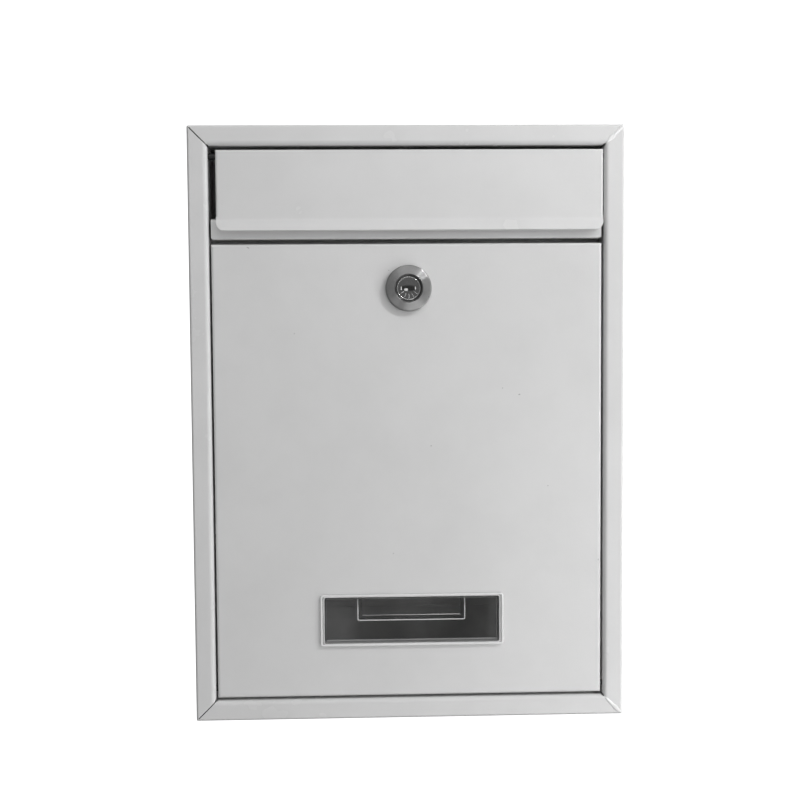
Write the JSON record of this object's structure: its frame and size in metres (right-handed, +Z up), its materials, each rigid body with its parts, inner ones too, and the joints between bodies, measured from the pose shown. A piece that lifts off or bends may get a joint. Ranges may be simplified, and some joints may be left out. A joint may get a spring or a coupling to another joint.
{
  "type": "wall mounted mailbox",
  "caption": "Wall mounted steel mailbox with a lift-up letter flap, a drop-down door with a cam lock, and a nameplate window.",
  "frame": {"origin": "centre of the four wall screw holes, on the back plane", "axes": "+X to the right of someone facing the mailbox, +Z up, the front faces -Y and the wall is at +Y"},
  "size_m": [0.218, 0.0731, 0.3],
  "materials": {
    "white_paint": "glossy white powder coat",
    "pin_steel": "plain drawn",
    "clear_plastic": "clear polished",
    "lock_nickel": "satin nickel plate",
    "plug_nickel": "nickel plate",
    "zinc_steel": "zinc plated",
    "nickel_silver": "stamped nickel silver",
    "spring_steel": "drawn wire"
  },
  "bodies": {
    "case": {"body_shell": "white_paint", "back_panel": "white_paint", "slot_crossbar": "white_paint"},
    "flap": {"flap_panel": "white_paint", "flap_pin_left": "pin_steel", "flap_pin_right": "pin_steel"},
    "door": {"door_panel": "white_paint", "door_pin_left": "pin_steel", "door_pin_right": "pin_steel", "nameplate_cover": "clear_plastic", "nameplate_back": "clear_plastic", "lock_housing": "lock_nickel", "lock_washer": "zinc_steel", "lock_nut": "zinc_steel"},
    "plug": {"lock_plug": "plug_nickel", "lock_wafers": "nickel_silver", "wafer_springs": "spring_steel", "stop_plate": "zinc_steel", "lock_cam": "zinc_steel", "cam_washer": "zinc_steel", "cam_screw": "zinc_steel"}
  },
  "joints": [
    {"name": "flap_hinge", "type": "hinge", "parent": "case", "child": "flap", "pos_m": [0, -0.0658, 0.135], "axis": [-1, 0, 0], "range_deg": [0, 90]},
    {"name": "door_hinge", "type": "hinge", "parent": "case", "child": "door", "pos_m": [0, -0.0656, -0.1342], "axis": [1, 0, 0], "range_deg": [0, 105]},
    {"name": "lock_turn", "type": "hinge", "parent": "door", "child": "plug", "pos_m": [0.0004, -0.0686, 0.069], "axis": [0, 1, 0], "range_deg": [0, 90]}
  ]
}
